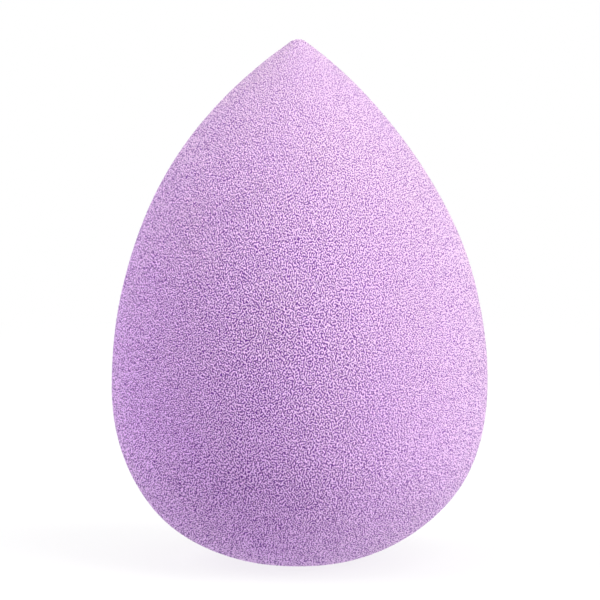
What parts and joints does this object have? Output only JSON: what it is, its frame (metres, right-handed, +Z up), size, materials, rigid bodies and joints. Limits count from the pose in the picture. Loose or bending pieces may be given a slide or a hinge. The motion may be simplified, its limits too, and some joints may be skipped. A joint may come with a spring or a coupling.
{
  "type": "makeup sponge",
  "caption": "Teardrop makeup sponge of soft open-cell foam, with a pointed tip for small areas and a full rounded base for blending.",
  "frame": {"origin": "middle of the flat foot, on the surface that the sponge stands on", "axes": "+Z up the axis of the teardrop to its tip; the form is turned about Z, so X and Y are alike"},
  "size_m": [0.0432, 0.0432, 0.06],
  "materials": {
    "foam": "matte lilac open-cell polyurethane foam with fine pores"
  },
  "bodies": {
    "root": {"foam_body": "foam"}
  },
  "joints": []
}
